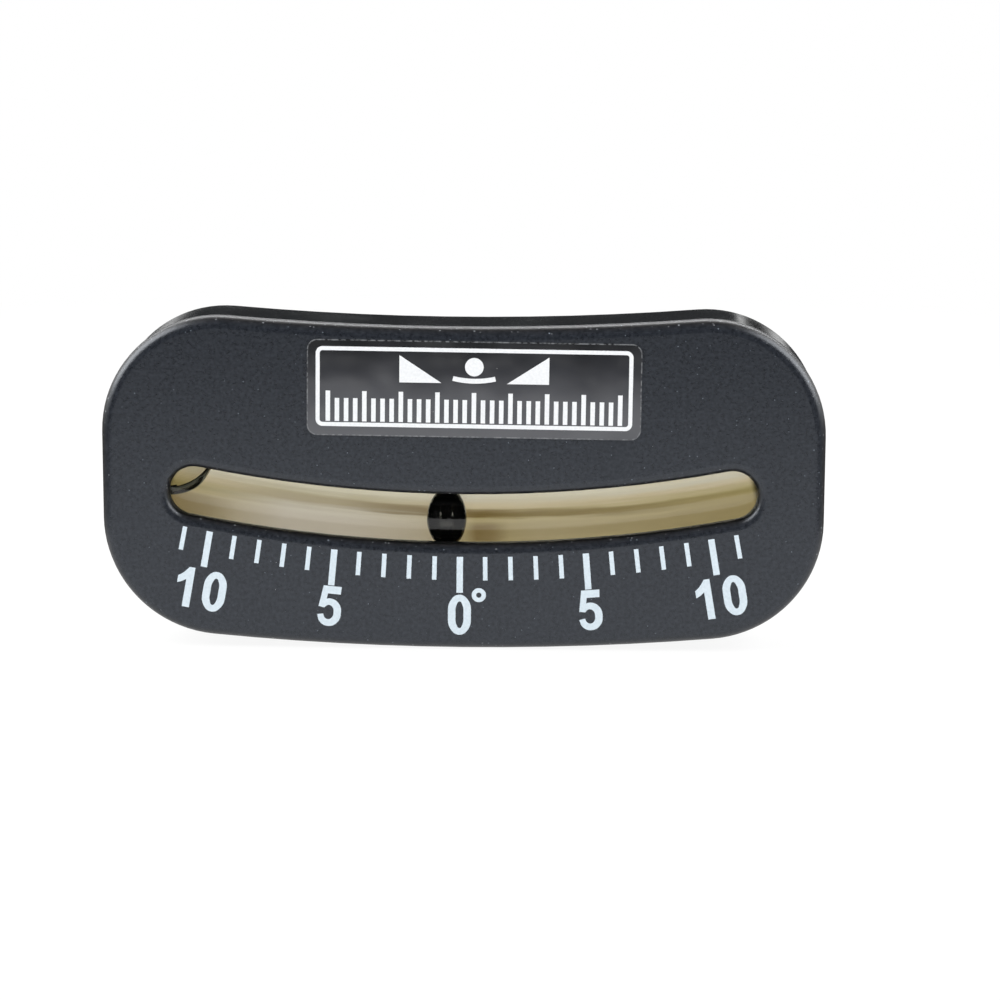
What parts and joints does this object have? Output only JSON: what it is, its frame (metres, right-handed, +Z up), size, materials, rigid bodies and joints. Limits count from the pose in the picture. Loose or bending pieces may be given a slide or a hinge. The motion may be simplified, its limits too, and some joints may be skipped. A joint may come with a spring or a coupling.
{
  "type": "inclinometer",
  "caption": "Stick-on ball inclinometer: a black case with a curved slot, behind which a ball rolls in a liquid-filled glass arc to show tilt in degrees.",
  "frame": {"origin": "middle of the adhesive face on the back, level with the middle of the case's height on its centre line", "axes": "+X to the viewer's right, +Z up, +Y from the front face to the back, into the surface that the inclinometer is stuck to"},
  "size_m": [0.09, 0.0141, 0.0418],
  "materials": {
    "cover_plastic": "finely textured black",
    "housing_plastic": "glossy black",
    "vial_glass": "clear",
    "liquid": "clear, faintly yellow",
    "ball_steel": "black oxide, polished",
    "plug_rubber": "moulded",
    "cushion_foam": "foam",
    "strip_film": "matt cream film",
    "label_film": "glossy smoke-grey film",
    "pad_foam": "closed-cell foam with adhesive"
  },
  "bodies": {
    "case": {"front_cover": "cover_plastic", "rear_housing": "housing_plastic", "vial_tube": "vial_glass", "damping_liquid": "liquid", "end_plug_left": "plug_rubber", "end_plug_right": "plug_rubber", "vial_cushion_left": "cushion_foam", "vial_cushion_right": "cushion_foam", "reflector_strip": "strip_film", "range_label": "label_film", "adhesive_pad": "pad_foam"},
    "rolling_ball": {"ball": "ball_steel"}
  },
  "joints": [
    {"name": "ball_roll", "type": "hinge", "parent": "case", "child": "rolling_ball", "pos_m": [0, -0.00805, 0.1716], "axis": [0, -1, 0], "range_deg": [-10.76, 12.16], "deforming": ["damping_liquid"]}
  ]
}
